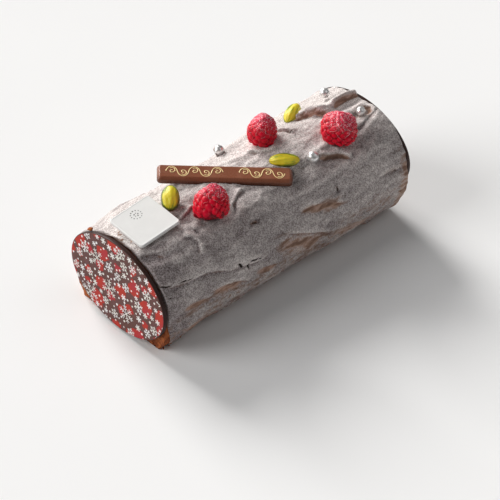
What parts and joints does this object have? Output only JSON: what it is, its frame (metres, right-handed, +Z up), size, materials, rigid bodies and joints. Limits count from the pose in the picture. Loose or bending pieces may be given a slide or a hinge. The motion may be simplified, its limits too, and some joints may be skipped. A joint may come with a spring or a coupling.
{
  "type": "yule log cake",
  "caption": "Round log cake coated in knife-spread cream, with a thin chocolate plate on each end and berries, nuts and chocolate pieces on top.",
  "frame": {"origin": "middle of the flat underside, halfway along the overall length and width", "axes": "+X along the log from its decorated end to its far end, +Z up, -Y towards the side that shows"},
  "size_m": [0.1788, 0.0799, 0.0775],
  "materials": {
    "cream": "matte, sprayed",
    "sponge": "crumbly",
    "dark_chocolate": "satin",
    "milk_chocolate": "satin gloss",
    "white_chocolate": "smooth satin",
    "berry": "moist, sugar dusted",
    "pistachio": "satin",
    "silver": "polished"
  },
  "bodies": {
    "root": {"sponge": "sponge", "cream": "cream", "plate_front": "dark_chocolate", "plate_back": "dark_chocolate", "plaque": "white_chocolate", "chocolate_finger": "milk_chocolate", "berry_front": "berry", "berry_middle": "berry", "berry_back": "berry", "pistachio_front": "pistachio", "pistachio_middle": "pistachio", "pistachio_back": "pistachio", "silver_ball_near": "silver", "silver_ball_far": "silver", "silver_ball_ridge": "silver", "silver_ball_hollow": "silver"}
  },
  "joints": []
}
